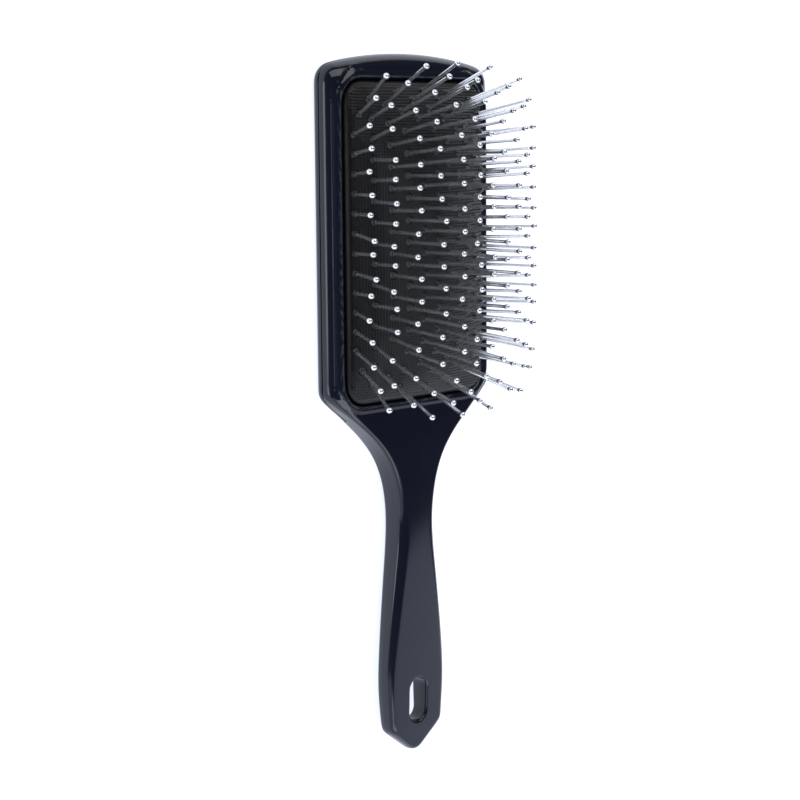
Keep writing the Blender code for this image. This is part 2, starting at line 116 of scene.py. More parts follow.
# Where the rings of the body's skin run, in degrees round its rounded edges; they are close near
# the seam. The last set lies on the front face.
BACK_EDGE_ANGLES = np.linspace(0, 90, 13)
FRONT_EDGE_ANGLES = [0, 1.2, 2.5, 3.2, 4, 4.8, 5.5, 6.5, 8, 10, 13, 17, 21, 25, 30, 36, 42, 48]
FRONT_FACE_ANGLES = [52, 56, 60, 65, 70, 76, 83, 90]
COVER_RING_COUNT = 26

# Hanging hole
HOLE_CENTRE_Y = -104.5 * MM
HOLE_HALF_WIDTH = 4.1 * MM
HOLE_HALF_LENGTH = 8.0 * MM
HOLE_EDGE_RADIUS = 1.0 * MM
HOLE_STEPS = 36
HOLE_BACK_ANGLES = [0, 20, 40, 60, 78, 90]
# Rings of points round the hole on the front face, in mm from its wall
HOLE_FRONT_OFFSETS = [0.03, 0.1, 0.2, 0.33, 0.5, 0.7, 0.95, 1.2]

# Cushion well, its lip, and the seam between body and rear cover
FLANGE_OFFSET = 2.7 * MM
PAD_HALF_WIDTH = pad_high.x - FLANGE_OFFSET
PAD_HALF_LENGTH = (pad_high.y - pad_low.y) / 2 - FLANGE_OFFSET
PAD_CENTRE_Y = (pad_high.y + pad_low.y) / 2
PAD_CORNER_RADIUS = 8.0 * MM
PAD_CORNER_ARC = 12.5 * MM
LIP_GAP = 0.4 * MM
LIP_UNDERSIDE = 8.9 * MM
LIP_INNER_RADIUS = 0.8 * MM
POCKET_OFFSET = 3.1 * MM
# Height of the lip against distance outward from the cushion's edge, in mm
LIP_HEIGHTS = [(0.4, 9.3), (0.6, 9.85), (1.2, 10.3), (2.0, 10.5), (3.0, 10.3), (3.8, 9.75), (4.4, 8.9)]
# Rings of points on the lip, in mm outward from the cushion's edge
LIP_OFFSETS = [
    0.45, 0.52, 0.62, 0.76, 0.95, 1.2, 1.5, 1.9, 2.3, 2.7, 3.1, 3.4, 3.7, 3.95, 4.15, 4.3, 4.4, 4.5,
    4.65, 4.9,
]
LIP_WIDTH = 4.4 * MM
LIP_BLEND = 0.08 * MM
LIP_REACH = 1.0 * MM
LIP_CLEARANCE = 0.3 * MM
EDGE_CLEARANCE = 1.75 * MM
SEAM_HEIGHT = (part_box("cushion_clamp_frame")[0].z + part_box("rear_cover")[1].z) / 2
SEAM_GAP = 0.3 * MM
SEAM_Y = -1.5 * MM
SEAM_ROUND = 0.35 * MM
SEAM_ROUND_REACH = 0.6 * MM
SEAM_FADE = 1.5 * MM
WELL_FLOOR = SEAM_HEIGHT - 1.0 * MM
COVER_THICKNESS = 1.6 * MM
COVER_RECESS_INSET = 0.6 * MM
CUT_MARGIN = 5.0 * MM
CUT_TOP = 30.0 * MM

# Spacing of the points that fill the flat faces
FRONT_SPACING = 0.9 * MM
BACK_SPACING = 1.6 * MM
COVER_SPACING = 3.0 * MM
STAGGER_SHARE = 0.87
CLEAR_SHARE = 0.62

# Cushion
FLANGE_TOP = 8.6 * MM
FLANGE_THICKNESS = 1.2 * MM
PAD_THICKNESS = 1.3 * MM
DOME_EDGE = 11.35 * MM
DOME_RISE = 9.9 * MM
DOME_POWER_ACROSS = 1.89
DOME_POWER_ALONG = 4.6
EDGE_ROLL = 3.0 * MM
EDGE_DROP = 2.0 * MM
DIMPLE_PITCH = 1.0 * MM
DIMPLE_DEPTH = 0.42 * MM
DIMPLE_MARGIN = 0.9 * MM
RIM_SPACING = 0.6 * MM
RIM_CLEARANCE = 0.3 * MM
RIM_RING_OFFSETS = (0.04 * MM, 0.14 * MM)
FLANGE_FILLET = 0.3 * MM
FLANGE_ROUND = 0.2 * MM
UNDERSIDE_SPACING = 2.4 * MM

# Cloth behind the cushion
CLOTH_DEPTH = 3.4 * MM
CLOTH_THICKNESS = 0.5 * MM
CLOTH_INSET = 4.0 * MM
CLOTH_RIM_SPACING = 2.0 * MM
CLOTH_SPACING = 2.5 * MM

# Pins, in an offset pattern of eleven columns; rows alternate between six and five pins
COLUMNS = 11
COLUMN_PITCH = 6.17 * MM
FIELD_CENTRE_Y = 59.7 * MM
OUTER_PITCH = 6.63 * MM
MIDDLE_EXTRA_PITCH = 0.96 * MM
LAST_ROW = 14
PULLED_ROWS_START = 11
ROW_PULL = 0.75 * MM
CORNER_ROW = 13
CORNER_PULL = 2.1 * MM
FIELD_HALF_WIDTH = 30.85 * MM
FIELD_HALF_LENGTH = 47.1 * MM
SPLAY_ACROSS = math.radians(28.3)
SPLAY_ALONG = math.radians(20.9)
SPLAY_POWER_ACROSS = 1.6
SPLAY_POWER_ALONG = 3.3
PIN_RADIUS = 0.6 * MM
PIN_ROOT_DEPTH = 2.05 * MM
PIN_REACH = 19.3 * MM
BALL_RADIUS = 1.0 * MM
PIN_SIDES = 16
WIRE_STEPS = 6
BALL_STEPS = 12
PIN_WOBBLE = math.radians(1.6)
WOBBLE_SEED = 7
COLLAR_SIDES = 20
# Flattened head of a pin and the rubber collar round it, as (radius, height) in mm. The wire
# starts at the head's top and ends inside the ball.
PIN_HEAD = [(0.0, 0.0), (0.95, 0.0), (1.1, 0.1), (1.1, 0.28), (0.95, 0.38), (0.66, 0.42)]
PIN_HEAD_TOP = 0.5 * MM
WIRE_SHORTENING = 1.7 * MM
NECK_OVERLAP = 0.05 * MM
COLLAR = [
    (0.0, -0.7), (1.75, -0.7), (1.62, -0.2), (1.45, 0.05), (1.22, 0.32), (1.05, 0.55), (0.95, 0.72),
    (0.85, 0.8), (0.74, 0.8), (0.66, 0.72), (0.62, 0.55), (0.0, 0.5),
]
SHARP_ANGLE_BODY = 35
SHARP_ANGLE_RUBBER = 40
SHARP_ANGLE_PINS = 50
SHARP_ANGLE_COLLARS = 60

# Camera, looking across the brush at its cushion from the left and above
CAMERA_PLACE = (-0.48128, 0.0975, 0.48142)
CAMERA_RIGHT = Vector((0.70484, -0.00879, 0.70931))
CAMERA_UP = Vector((0.10405, 0.99040, -0.09108))
CAMERA_LENS = 87.4
CAMERA_SENSOR = 36.0

FLOOR_SIZE = 8.0
FLOOR_GAP = 0.05 * MM
WHITE = (1.0, 1.0, 1.0)
COOL_WHITE = (0.86, 0.93, 1.1)


def from_mm(stations):
    return [(place * MM, value * MM) for place, value in stations]


def smooth_stations(stations, places):
    """Values of a smooth curve through the stations, flat beyond both ends."""
    xs = np.array([station[0] for station in stations])
    ys = np.array([station[1] for station in stations])
    slopes = np.zeros(len(xs))
    slopes[1:-1] = (ys[2:] - ys[:-2]) / (xs[2:] - xs[:-2])
    places = np.clip(places, xs[0], xs[-1])
    after = np.clip(np.searchsorted(xs, places), 1, len(xs) - 1)
    width = xs[after] - xs[after - 1]
    t = (places - xs[after - 1]) / width
    return (
        ys[after - 1] * (1 + 2 * t) * (1 - t) ** 2
        + slopes[after - 1] * width * t * (1 - t) ** 2
        + ys[after] * t * t * (3 - 2 * t)
        + slopes[after] * width * t * t * (t - 1)
    )


def fillet(before, corner, after, radius, steps):
    """Points of an arc that rounds a corner between two straight lines."""
    corner = Vector(corner)
    back = (Vector(before) - corner).normalized()
    ahead = (Vector(after) - corner).normalized()
    half_angle = back.angle(ahead) / 2
    centre = corner + (back + ahead).normalized() * (radius / math.sin(half_angle))
    start = corner + back * (radius / math.tan(half_angle))
    end = corner + ahead * (radius / math.tan(half_angle))
    turn = (start - centre).angle_signed(end - centre)
    spoke = start - centre
    return [centre + Matrix.Rotation(-turn * i / steps, 2) @ spoke for i in range(steps + 1)]


def smooth_curve(before, points, steps):
    """Catmull-Rom curve through the points, in order, coming from the point before them."""
    padded = [before, *points, 2 * points[-1] - points[-2]]
    curve = []
    for p0, p1, p2, p3 in zip(padded, padded[1:], padded[2:], padded[3:]):
        for i in range(steps):
            t = i / steps
            curve.append(
                0.5 * (2 * p1 + (p2 - p0) * t + (2 * p0 - 5 * p1 + 4 * p2 - p3) * t * t
                       + (3 * p1 - p0 - 3 * p2 + p3) * t ** 3)
            )
    return curve + [points[-1]]


def mirrored(half):
    """Closed outline from its right half, top to bottom; points on the centre line stay single."""
    return half + [Vector((-p.x, p.y)) for p in reversed(half) if p.x > 1e-7]


def subdivided(outline, longest):
    dense = []
    for here, there in zip(outline, outline[1:] + outline[:1]):
        parts = max(1, math.ceil((there - here).length / longest))
        dense += [here.lerp(there, i / parts) for i in range(parts)]
    return dense


def as_array(points):
    return np.array([tuple(point) for point in points])


def smoothed(outline, passes):
    """The closed outline with its curvature evened out a little."""
    for _ in range(passes):
        middle = (np.roll(outline, 1, axis=0) + np.roll(outline, -1, axis=0)) / 2
        outline = outline * 0.5 + middle * 0.5
    return outline


def make_body_outline():
    def top_edge(x):
        return Vector((x, TOP_Y - HEAD_TOP_RADIUS + math.sqrt(HEAD_TOP_RADIUS ** 2 - x * x)))

    top_corner = top_edge(HEAD_HALF_WIDTH)
    top_end_x = HEAD_HALF_WIDTH - TOP_ARC_END_SHARE * HEAD_TOP_CORNER_RADIUS
    half = [top_edge(top_end_x * i / 30) for i in range(30)]
    half += fillet(top_edge(top_end_x), top_corner, HEAD_LOW_CORNER, HEAD_TOP_CORNER_RADIUS, 14)
    handle = [Vector((x * MM, y * MM)) for x, y in HANDLE_CURVE]
    half += fillet(top_corner, HEAD_LOW_CORNER, handle[0], HEAD_LOW_CORNER_RADIUS, 10)
    half += smooth_curve(Vector(HEAD_LOW_CORNER), handle, 10)
    tail_point = (0.0, TAIL_POINT_Y)
    half += fillet(handle[-1], TAIL_CORNER, tail_point, TAIL_CORNER_RADIUS, 8)
    other_side = (-TAIL_CORNER[0], TAIL_CORNER[1])
    tip = fillet(TAIL_CORNER, tail_point, other_side, TAIL_POINT_RADIUS, TIP_STEPS)
    half += tip[:TIP_STEPS // 2 + 1]
    half[-1].x = 0.0
    dense = as_array(subdivided(mirrored(half), OUTLINE_SPACING))
    return smoothed(dense, OUTLINE_SMOOTHING)


def side_normals(outline):
    """Unit vectors to the right of travel: inward on the body's outline, outward on the cushion's."""
    along = np.roll(outline, -1, axis=0) - np.roll(outline, 1, axis=0)
    right = np.stack([along[:, 1], -along[:, 0]], axis=1)
    return right / np.linalg.norm(right, axis=1, keepdims=True)


BODY_OUTLINE = make_body_outline()
BODY_INWARD = side_normals(BODY_OUTLINE)


def distance_to(outline, points):
    """Distance from each point to the closed outline."""
    start = outline
    run = np.roll(outline, -1, axis=0) - start
    length_squared = (run ** 2).sum(axis=1)
    nearest = []
    for chunk in np.array_split(points, max(1, len(points) // 2000)):
        offset = chunk[:, None, :] - start[None]
        share = np.clip((offset * run).sum(axis=2) / length_squared, 0, 1)
        gap = offset - share[..., None] * run
        nearest.append(np.sqrt((gap ** 2).sum(axis=2).min(axis=1)))
    return np.concatenate(nearest)


def inside(outline, points):
    """Which points lie inside the closed outline."""
    x0, y0 = outline.T
    x1, y1 = np.roll(outline, -1, axis=0).T
    found = []
    for chunk in np.array_split(points, max(1, len(points) // 2000)):
        x, y = chunk[:, :1], chunk[:, 1:]
        spans = (y0 > y) != (y1 > y)
        crossing = x0 + (y - y0) * (x1 - x0) / np.where(y1 == y0, 1.0, y1 - y0)
        found.append((spans & (x < crossing)).sum(axis=1) % 2 == 1)
    return np.concatenate(found)


def pad_distance(points):
    """Distance outward from the cushion's visible edge, negative inside it."""
    qx = np.abs(points[:, 0]) - (PAD_HALF_WIDTH - PAD_CORNER_RADIUS)
    qy = np.abs(points[:, 1] - PAD_CENTRE_Y) - (PAD_HALF_LENGTH - PAD_CORNER_RADIUS)
    outside = np.hypot(np.maximum(qx, 0), np.maximum(qy, 0)) + np.minimum(np.maximum(qx, qy), 0)
    return outside - PAD_CORNER_RADIUS


def hole_distance(points):
    """Distance outward from the hanging hole's wall."""
    straight = HOLE_HALF_LENGTH - HOLE_HALF_WIDTH
    beyond = np.maximum(np.abs(points[:, 1] - HOLE_CENTRE_Y) - straight, 0)
    return np.hypot(points[:, 0], beyond) - HOLE_HALF_WIDTH


def pad_ring(offset, spacing=OUTLINE_SPACING):
    """The cushion's visible edge moved outward by offset, from its right side anticlockwise."""
    radius = PAD_CORNER_RADIUS + offset
    corner_x = PAD_HALF_WIDTH - PAD_CORNER_RADIUS
    corner_y = PAD_HALF_LENGTH - PAD_CORNER_RADIUS
    across = max(2, round(2 * corner_x / spacing))
    along = max(2, round(2 * corner_y / spacing))
    turns = max(4, round(PAD_CORNER_ARC / spacing))
    centres = [(corner_x, corner_y), (-corner_x, corner_y), (-corner_x, -corner_y), (corner_x, -corner_y)]
    centres = np.array(centres)
    ring = []
    for quarter, centre in enumerate(centres):
        for i in range(turns):
            angle = math.pi / 2 * (quarter + i / turns)
            ring.append(centre + radius * np.array((math.cos(angle), math.sin(angle))))
        end_angle = math.pi / 2 * (quarter + 1)
        spoke = radius * np.array((math.cos(end_angle), math.sin(end_angle)))
        next_centre = centres[(quarter + 1) % 4]
        count = along if quarter % 2 else across
        for i in range(count):
            ring.append(centre + spoke + (next_centre - centre) * (i / count))
    return np.array(ring) + (0.0, PAD_CENTRE_Y)


def hole_ring(offset):
    radius = HOLE_HALF_WIDTH + offset
    straight = HOLE_HALF_LENGTH - HOLE_HALF_WIDTH
    ring = []
    for side in (1, -1):
        for i in range(HOLE_STEPS + 1):
            angle = math.pi * i / HOLE_STEPS
            ring.append((side * radius * math.cos(angle), side * (straight + radius * math.sin(angle))))
    dense = subdivided([Vector(point) for point in ring], OUTLINE_SPACING)
    return as_array(dense) + (0.0, HOLE_CENTRE_Y)


def back_height(y):
    return smooth_stations(from_mm(BACK_HEIGHTS), y)


def round_drop(distance, radius):
    """How far a rounded edge has dropped at a distance in from where it starts."""
    inward = np.clip(radius - distance, 0, radius)
    return radius - np.sqrt(np.maximum(radius ** 2 - inward ** 2, 0))


def front_level(points):
    """Front face without its edges: its height against Y, and the crown across the handle."""
    crown = smooth_stations(from_mm(CROWN_HEIGHTS), points[:, 1])
    level = smooth_stations(from_mm(FRONT_HEIGHTS), points[:, 1])
    return level - crown * (points[:, 0] / CROWN_HALF_WIDTH) ** 2


def front_radius(y):
    return smooth_stations(from_mm(FRONT_EDGE_RADII), y)


def front_height(points):
    """Whole front surface: level, rounded outer edge, lip round the well, rounded hole."""
    inset = distance_to(BODY_OUTLINE, points)
    level = front_level(points) - round_drop(inset, front_radius(points[:, 1]))
    from_pad = pad_distance(points)
    lip = smooth_stations(from_mm(LIP_HEIGHTS), from_pad)
    raised = (level + lip + np.sqrt((level - lip) ** 2 + LIP_BLEND ** 2)) / 2
    level = np.where(from_pad < LIP_WIDTH + LIP_REACH, raised, level)
    level -= round_drop(from_pad - LIP_GAP, LIP_INNER_RADIUS) * (level > lip)
    return level - round_drop(hole_distance(points), HOLE_EDGE_RADIUS)


def lifted(points, heights):
    return np.column_stack([points, np.broadcast_to(heights, len(points))])


def add_loop(shape, ring):
    return [shape.verts.new(point) for point in ring]


def bridge(shape, lower, upper):
    """Band of faces between two closed loops of as many vertices."""
    count = len(lower)
    for i in range(count):
        j = (i + 1) % count
        shape.faces.new((lower[i], lower[j], upper[j], upper[i]))


def bridge_all(shape, loops):
    for lower, upper in zip(loops, loops[1:]):
        bridge(shape, lower, upper)


def loop_plan(loop):
    """A loop's vertices seen from above."""
    return as_array([vert.co.xy for vert in loop])


def fill(shape, loops, loose):
    """Triangles inside the first loop, outside the others, through the loose points."""
    verts = [vert for loop in loops for vert in loop] + [shape.verts.new(p) for p in loose]
    edges = []
    first = 0
    for loop in loops:
        edges += [(first + i, first + (i + 1) % len(loop)) for i in range(len(loop))]
        first += len(loop)
    flat, _, faces, origins, _, _ = delaunay_2d_cdt([v.co.xy for v in verts], edges, [], 0, 1e-7)
    flat = as_array(flat)
    centres = flat[np.array(faces)].mean(axis=1)
    keep = inside(loop_plan(loops[0]), centres)
    for loop in loops[1:]:
        keep &= ~inside(loop_plan(loop), centres)
    for face, kept in zip(faces, keep):
        if kept:
            shape.faces.new([verts[origins[i][0]] for i in face])


def spread_points(spacing, keep, avoid):
    """Staggered grid of points over the body, where keep allows and clear of the avoided ones."""
    tree = KDTree(len(avoid))
    for i, point in enumerate(avoid):
        tree.insert((point[0], point[1], 0), i)
    tree.balance()
    rows = np.arange(TAIL_Y, TOP_Y, spacing * STAGGER_SHARE)
    grid = []
    for number, y in enumerate(rows):
        start = -HEAD_HALF_WIDTH + (spacing / 2 if number % 2 else 0)
        xs = np.arange(start, HEAD_HALF_WIDTH, spacing)
        grid.append(np.column_stack([xs, np.full(len(xs), y)]))
    grid = np.concatenate(grid)
    grid = grid[keep(grid)]
    clear = [tree.find((x, y, 0))[2] > CLEAR_SHARE * spacing for x, y in grid]
    return grid[np.array(clear)]


def finish_mesh(shape, name, smooth_angle):
    """Object from a bmesh, with its normals outward and its loose vertices removed."""
    loose = [vert for vert in shape.verts if not vert.link_faces]
    bmesh.ops.delete(shape, geom=loose, context="VERTS")
    bmesh.ops.recalc_face_normals(shape, faces=shape.faces)
    mesh = bpy.data.meshes.new(name)
    shape.to_mesh(mesh)
    shape.free()
    return new_object(name, mesh, smooth_angle)


def new_object(name, mesh, smooth_angle):
    made = bpy.data.objects.new(name, mesh)
    bpy.context.scene.collection.objects.link(made)
    mesh.shade_smooth()
    mesh.set_sharp_from_angle(angle=math.radians(smooth_angle))
    return made


def cut(target, *cutters):
    """Takes the cutters out of the target for good, and removes them."""
    for cutter in cutters:
        modifier = target.modifiers.new(cutter.name, "BOOLEAN")
        modifier.operation = "DIFFERENCE"
        modifier.solver = "EXACT"
        modifier.object = cutter
    bpy.context.view_layer.update()
    depsgraph = bpy.context.evaluated_depsgraph_get()
    mesh = bpy.data.meshes.new_from_object(target.evaluated_get(depsgraph))
    target.modifiers.clear()
    old = target.data
    target.data = mesh
    bpy.data.meshes.remove(old)
    for cutter in cutters:
        bpy.data.objects.remove(cutter, do_unlink=True)


def block(name, outline, bottom, top):
    """Upright cutter with the given outline."""
    shape = bmesh.new()
    lower = add_loop(shape, lifted(outline, bottom))
    upper = add_loop(shape, lifted(outline, top))
    bridge(shape, lower, upper)
    shape.faces.new(lower)
    shape.faces.new(upper)
    return finish_mesh(shape, name, SHARP_ANGLE_BODY)


def seam_inset(ring, heights):
    """Rounds the two edges of the seam round the head, so that it reads as a line."""
    near = np.clip(1 - np.abs(heights - SEAM_HEIGHT) / SEAM_ROUND_REACH, 0, 1)
    on_head = np.clip((ring[:, 1] - SEAM_Y) / SEAM_FADE, 0, 1)
    return SEAM_ROUND * near ** 2 * on_head


def skin_rings():
    """Closed rings of the outer skin, from the flat of the back to the start of the front face."""
    y = BODY_OUTLINE[:, 1]
    back_width = smooth_stations(from_mm(BACK_EDGE_WIDTHS), y)
    radius = front_radius(y)
    level = front_level(BODY_OUTLINE)
    rings = []
    for angle in np.radians(BACK_EDGE_ANGLES):
        inset = back_width * (1 - math.sin(angle))
        height = back_height(y) + BACK_EDGE_SLOPE * back_width * (1 - math.cos(angle))
        rings.append((inset, height))
    top_of_back = rings[-1][1]
    for part in SIDE_PARTS:
        inset = -SIDE_BULGE * 4 * part * (1 - part) * np.clip(-y / (10 * MM), 0, 1)
        rings.append((inset, top_of_back + (level - radius - top_of_back) * part))
    for angle in np.radians(FRONT_EDGE_ANGLES):
        rings.append((radius * (1 - math.cos(angle)), level - radius * (1 - math.sin(angle))))
    made = []
    for inset, height in rings:
        inset = inset + seam_inset(BODY_OUTLINE, height)
        made.append(lifted(BODY_OUTLINE + BODY_INWARD * inset[:, None], height))
    return made


def front_points(outer_ring):
    """Points of the front face: rings along the edges that need them, and a grid between."""
    radius = front_radius(BODY_OUTLINE[:, 1])
    rings = []
    for angle in np.radians(FRONT_FACE_ANGLES):
        ring = BODY_OUTLINE + BODY_INWARD * (radius * (1 - math.cos(angle)))[:, None]
        rings.append(ring[pad_distance(ring) > LIP_WIDTH + LIP_CLEARANCE])
    for offset in LIP_OFFSETS:
        ring = pad_ring(offset * MM)
        rings.append(ring[distance_to(BODY_OUTLINE, ring) > EDGE_CLEARANCE])
    for offset in HOLE_FRONT_OFFSETS:
        rings.append(hole_ring(offset * MM))
    rings = np.concatenate(rings)
    avoid = np.concatenate([rings, outer_ring, pad_ring(LIP_GAP), hole_ring(0)])

    def keep(points):
        return inside(outer_ring, points) & (pad_distance(points) > LIP_GAP) & (hole_distance(points) > 0)

    return np.concatenate([rings, spread_points(FRONT_SPACING, keep, avoid)])


def make_well(shape):
    """Walls and floor of the cushion's well, undercut below the lip; gives its top loop."""
    rim = pad_ring(LIP_GAP)
    loops = [add_loop(shape, lifted(rim, front_height(rim)))]
    for offset, height in (
        (LIP_GAP, LIP_UNDERSIDE), (POCKET_OFFSET, LIP_UNDERSIDE), (POCKET_OFFSET, WELL_FLOOR),
    ):
        loops.append(add_loop(shape, lifted(pad_ring(offset), height)))
    bridge_all(shape, loops[::-1])
    shape.faces.new(loops[-1])
    return loops[0]


def make_hole(shape):
    """Wall of the hanging hole, rounded at the back; gives its top and bottom loops."""
    rim = hole_ring(0)
    loops = [add_loop(shape, lifted(rim, front_height(rim)))]
    for angle in np.radians(HOLE_BACK_ANGLES):
        ring = hole_ring(HOLE_EDGE_RADIUS * (1 - math.cos(angle)))
        rise = HOLE_EDGE_RADIUS * (1 - math.sin(angle))
        loops.append(add_loop(shape, lifted(ring, back_height(ring[:, 1]) + rise)))
    bridge_all(shape, loops[::-1])
    return loops[0], loops[-1]


def cut_box(low_y, high_y):
    """Outline of a cutter wider than the head, between two places along the brush."""
    reach = HEAD_HALF_WIDTH + CUT_MARGIN
    return np.array([(reach, high_y), (reach, low_y), (-reach, low_y), (-reach, high_y)])


def make_body():
    """Handle, shoulder and the frame round the cushion well, with its hanging hole."""
    shape = bmesh.new()
    skin = [add_loop(shape, ring) for ring in skin_rings()]
    bridge_all(shape, skin)
    well_top = make_well(shape)
    hole_top, hole_bottom = make_hole(shape)
    points = front_points(loop_plan(skin[-1]))
    fill(shape, [skin[-1], well_top, hole_top], lifted(points, front_height(points)))
    back_ring = loop_plan(skin[0])

    def keep(points):
        return inside(back_ring, points) & (hole_distance(points) > HOLE_EDGE_RADIUS)

    points = spread_points(BACK_SPACING, keep, np.concatenate([back_ring, loop_plan(hole_bottom)]))
    fill(shape, [skin[0], hole_bottom], lifted(points, back_height(points[:, 1])))
    body = finish_mesh(shape, "paddle_shell", SHARP_ANGLE_BODY)
    seat = cut_box(SEAM_Y - SEAM_GAP / 2, TOP_Y + CUT_MARGIN)
    cut(body, block("cover_seat", seat, -CUT_MARGIN, SEAM_HEIGHT + SEAM_GAP / 2))
    return body


def make_cover():
    """Plate with rounded edges that closes the air chamber from the back of the head."""
    shape = bmesh.new()
    skin = [add_loop(shape, ring) for ring in skin_rings()[:COVER_RING_COUNT]]
    bridge_all(shape, skin)
    shape.faces.new(skin[-1])
    back_ring = loop_plan(skin[0])
    points = spread_points(COVER_SPACING, lambda p: inside(back_ring, p), back_ring)
    fill(shape, [skin[0]], lifted(points, back_height(points[:, 1])))
    cover = finish_mesh(shape, "rear_shell", SHARP_ANGLE_BODY)
    far_end = TOP_Y + CUT_MARGIN
    handle_side = cut_box(-far_end, SEAM_Y + SEAM_GAP / 2)
    cut(
        cover,
        block("cover_end_cut", handle_side, -CUT_MARGIN, CUT_TOP),
        block("cover_top_cut", cut_box(-far_end, far_end), SEAM_HEIGHT - SEAM_GAP / 2, CUT_TOP),
        block("cover_recess", pad_ring(-COVER_RECESS_INSET), COVER_THICKNESS, CUT_TOP),
    )
    return cover


def dome_height(points):
    """Upper surface of the cushion: domed both ways from its edge, where it rolls down."""
    across = 1 - (np.abs(points[:, 0]) / PAD_HALF_WIDTH) ** DOME_POWER_ACROSS
    along = 1 - (np.abs(points[:, 1] - PAD_CENTRE_Y) / PAD_HALF_LENGTH) ** DOME_POWER_ALONG
    roll = np.clip(1 + pad_distance(points) / EDGE_ROLL, 0, 1)
    return DOME_EDGE + DOME_RISE * across * along - EDGE_DROP * (1 - np.sqrt(1 - roll ** 2))


def pin_place(column, row):
    """Foot of a pin on the cushion and its direction; columns count from the middle."""
    x = column * COLUMN_PITCH
    middle = 1.0 - (x / FIELD_HALF_WIDTH) ** 2
    pull = ROW_PULL * max(0, abs(row) - PULLED_ROWS_START) * middle
    pitch = OUTER_PITCH + MIDDLE_EXTRA_PITCH * middle
    y = math.copysign(abs(row) / 2 * pitch - pull, row)
    if abs(column) == COLUMNS // 2 and abs(row) >= CORNER_ROW:
        x -= math.copysign(CORNER_PULL, x)
    share_across = math.sin(math.pi / 2 * abs(x / FIELD_HALF_WIDTH) ** SPLAY_POWER_ACROSS)
    lean_x = math.copysign(SPLAY_ACROSS * share_across, x)
    lean_y = math.copysign(SPLAY_ALONG * abs(y / FIELD_HALF_LENGTH) ** SPLAY_POWER_ALONG, y)
    y += FIELD_CENTRE_Y
    direction = Vector((math.tan(lean_x), math.tan(lean_y), 1.0)).normalized()
    height = dome_height(np.array([(x, y)]))[0]
    return Vector((x, y, height)), direction


def row_pins(row):
    """The pins of one row: odd rows use the outer columns, even rows those between."""
    half = COLUMNS // 2
    start = -half if row % 2 else -half + 1
    return [pin_place(column, row) for column in range(start, half + 1, 2)]


PIN_ROWS = [row_pins(row) for row in range(LAST_ROW, -LAST_ROW - 1, -1)]


def dimpled_grid():
    """Points of the dome on a grid of half a dimple's pitch, every second one both ways sunk."""
    step = DIMPLE_PITCH / 2
    columns = np.arange(-round(PAD_HALF_WIDTH / step), round(PAD_HALF_WIDTH / step) + 1)
    rows = np.arange(-round(PAD_HALF_LENGTH / step), round(PAD_HALF_LENGTH / step) + 1)
    across, along = np.meshgrid(columns, rows)
    across, along = across.ravel(), along.ravel()
    grid = np.column_stack([across * step, along * step + PAD_CENTRE_Y])
    room = -pad_distance(grid)
    dimple = (across % 2 == 0) & (along % 2 == 0) & (room > DIMPLE_MARGIN)
    heights = dome_height(grid) - np.where(dimple, DIMPLE_DEPTH, 0)
    return lifted(grid, heights)[room > RIM_CLEARANCE]


def make_cushion():
    """Rubber dome with a fine grid of dimples, its edge wall and the flange under the lip."""
    shape = bmesh.new()
    rim = pad_ring(0, RIM_SPACING)
    loops = [add_loop(shape, lifted(rim, dome_height(rim)))]
    near_rim = [pad_ring(-offset, RIM_SPACING) for offset in RIM_RING_OFFSETS]
    edges = np.concatenate([lifted(ring, dome_height(ring)) for ring in near_rim])
    fill(shape, loops, np.concatenate([edges, dimpled_grid()]))
    flange_bottom = FLANGE_TOP - FLANGE_THICKNESS
    profile = [
        (0, FLANGE_TOP + FLANGE_FILLET), (FLANGE_FILLET, FLANGE_TOP),
        (FLANGE_OFFSET - FLANGE_ROUND, FLANGE_TOP), (FLANGE_OFFSET, FLANGE_TOP - FLANGE_ROUND),
        (FLANGE_OFFSET, flange_bottom), (-PAD_THICKNESS, flange_bottom),
    ]
    for offset, height in profile:
        loops.append(add_loop(shape, lifted(rim + side_normals(rim) * offset, height)))
    inner = loop_plan(loops[-1])
    loops.append(add_loop(shape, lifted(inner, dome_height(inner) - PAD_THICKNESS)))
    bridge_all(shape, loops[::-1])
    points = spread_points(UNDERSIDE_SPACING, lambda p: pad_distance(p) < -PAD_THICKNESS, inner)
    fill(shape, [loops[-1]], lifted(points, dome_height(points) - PAD_THICKNESS))
    return finish_mesh(shape, "cushion_dome", SHARP_ANGLE_RUBBER)


def spun(profile, sides):
    """Vertices and faces of a closed turned shape from (radius, height) points, poles at both ends."""
    verts = [(0.0, 0.0, profile[0][1])]
    faces = []
    for radius, height in profile[1:-1]:
        for i in range(sides):
            angle = 2 * math.pi * i / sides
            verts.append((radius * math.cos(angle), radius * math.sin(angle), height))
    verts.append((0.0, 0.0, profile[-1][1]))
    last = len(verts) - 1
    for i in range(sides):
        j = (i + 1) % sides
        faces.append((0, 1 + j, 1 + i))
        for ring in range(len(profile) - 3):
            start = 1 + ring * sides
            faces.append((start + i, start + j, start + sides + j, start + sides + i))
        start = last - sides
        faces.append((start + i, start + j, last))
    return np.array(verts), faces


def pin_profile():
    """A flattened head, a straight wire and a ball tip, from the root up."""
    tip = PIN_REACH + PIN_ROOT_DEPTH
    profile = from_mm(PIN_HEAD)
    for i in range(WIRE_STEPS + 1):
        profile.append((PIN_RADIUS, PIN_HEAD_TOP + (tip - WIRE_SHORTENING) * i / WIRE_STEPS))
    neck = math.asin((PIN_RADIUS + NECK_OVERLAP) / BALL_RADIUS)
    for i in range(BALL_STEPS + 1):
        angle = neck + (math.pi - neck) * i / BALL_STEPS
        profile.append((BALL_RADIUS * math.sin(angle), tip - BALL_RADIUS * math.cos(angle)))
    profile[-1] = (0.0, profile[-1][1])
    return profile


